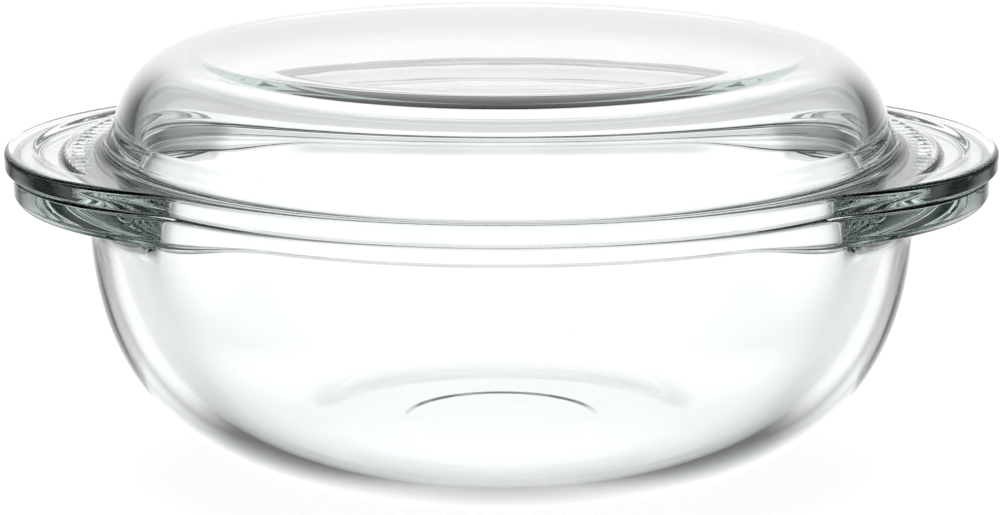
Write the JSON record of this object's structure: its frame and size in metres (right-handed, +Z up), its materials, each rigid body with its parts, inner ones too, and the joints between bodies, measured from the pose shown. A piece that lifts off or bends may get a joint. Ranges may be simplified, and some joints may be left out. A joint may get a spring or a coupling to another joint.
{
  "type": "covered casserole dish",
  "caption": "Clear glass casserole dish: round bowl with a curved wall and wide side handles, under a flat-topped domed lid with matching handles that lifts straight off.",
  "frame": {"origin": "centre of the bowl's foot, on the plane that it rests on", "axes": "+Z up, along the axis of the bowl and lid and the way the lid lifts off; +X through one pair of handles; +Y away from the viewer"},
  "size_m": [0.28, 0.2356, 0.1173],
  "materials": {
    "clear_glass": "clear pressed glass, smooth and fire-polished, faint grey-green where it is thick"
  },
  "bodies": {
    "bowl": {"bowl": "clear_glass"},
    "lid": {"lid": "clear_glass"}
  },
  "joints": [
    {"name": "lid_lift", "type": "slide", "parent": "bowl", "child": "lid", "axis": [0, 0, 1], "range_m": [0, 0.12]}
  ]
}
